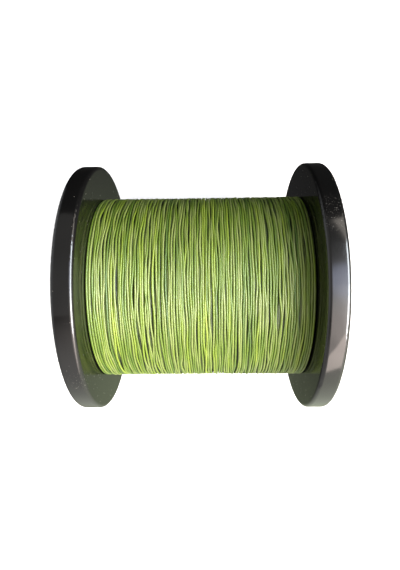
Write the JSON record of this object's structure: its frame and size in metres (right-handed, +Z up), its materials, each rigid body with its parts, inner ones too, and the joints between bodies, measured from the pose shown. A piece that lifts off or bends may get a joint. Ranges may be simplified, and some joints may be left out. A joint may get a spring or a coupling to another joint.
{
  "type": "fishing line spool",
  "caption": "Black moulded flanged spool filled with yellow-green braided fishing line, with a through bore for a winding spindle.",
  "frame": {"origin": "centre of the spool, on the axis of its bore, midway between the flanges", "axes": "+X along the bore axis towards the right flange, +Z up; the spool lies on its rims"},
  "size_m": [0.095, 0.1, 0.1],
  "materials": {
    "flange_plastic": "gloss",
    "core_plastic": "satin",
    "braided_line": "matte",
    "tape": "matte"
  },
  "bodies": {
    "root": {"left_flange": "flange_plastic", "right_flange": "flange_plastic", "barrel": "core_plastic", "arbor_tube": "core_plastic", "line_winding": "braided_line", "line_start_tape": "tape", "line_end_tape": "tape"}
  },
  "joints": []
}
